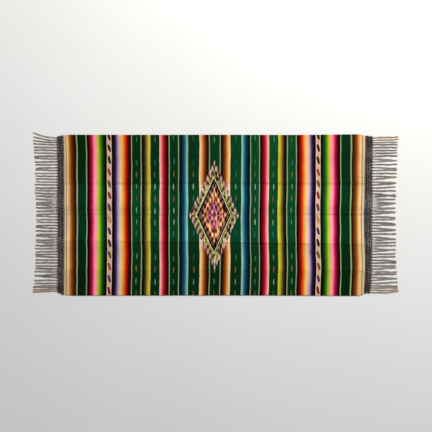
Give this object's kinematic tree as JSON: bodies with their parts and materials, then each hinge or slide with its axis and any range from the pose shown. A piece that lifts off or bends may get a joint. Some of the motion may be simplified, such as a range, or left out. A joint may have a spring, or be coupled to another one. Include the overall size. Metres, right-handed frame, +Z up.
{
  "type": "mexican serape, laid flat",
  "caption": "Flat striped wool serape with a woven middle lozenge, a knotted net heading and a warp fringe at each end.",
  "frame": {"origin": "bottom middle of the box of the whole serape, fringes included, on the surface it lies on", "axes": "+X runs along the warp towards the right fringe, +Y across the web towards the back selvedge, +Z up out of the face that shows"},
  "size_m": [2.3482, 1.047, 0.0106],
  "materials": {
    "wool_web": "weft-faced wool weave with a soft low sheen, mostly spruce green between shaded stripes",
    "knotted_warp": "matt grey-brown warp yarn, knotted into a close net",
    "free_warp": "matt taupe warp yarn in loose twisted strands"
  },
  "bodies": {
    "root": {"woven_web": "wool_web", "left_net_heading": "knotted_warp", "right_net_heading": "knotted_warp", "left_fringe": "free_warp", "right_fringe": "free_warp"}
  },
  "joints": []
}
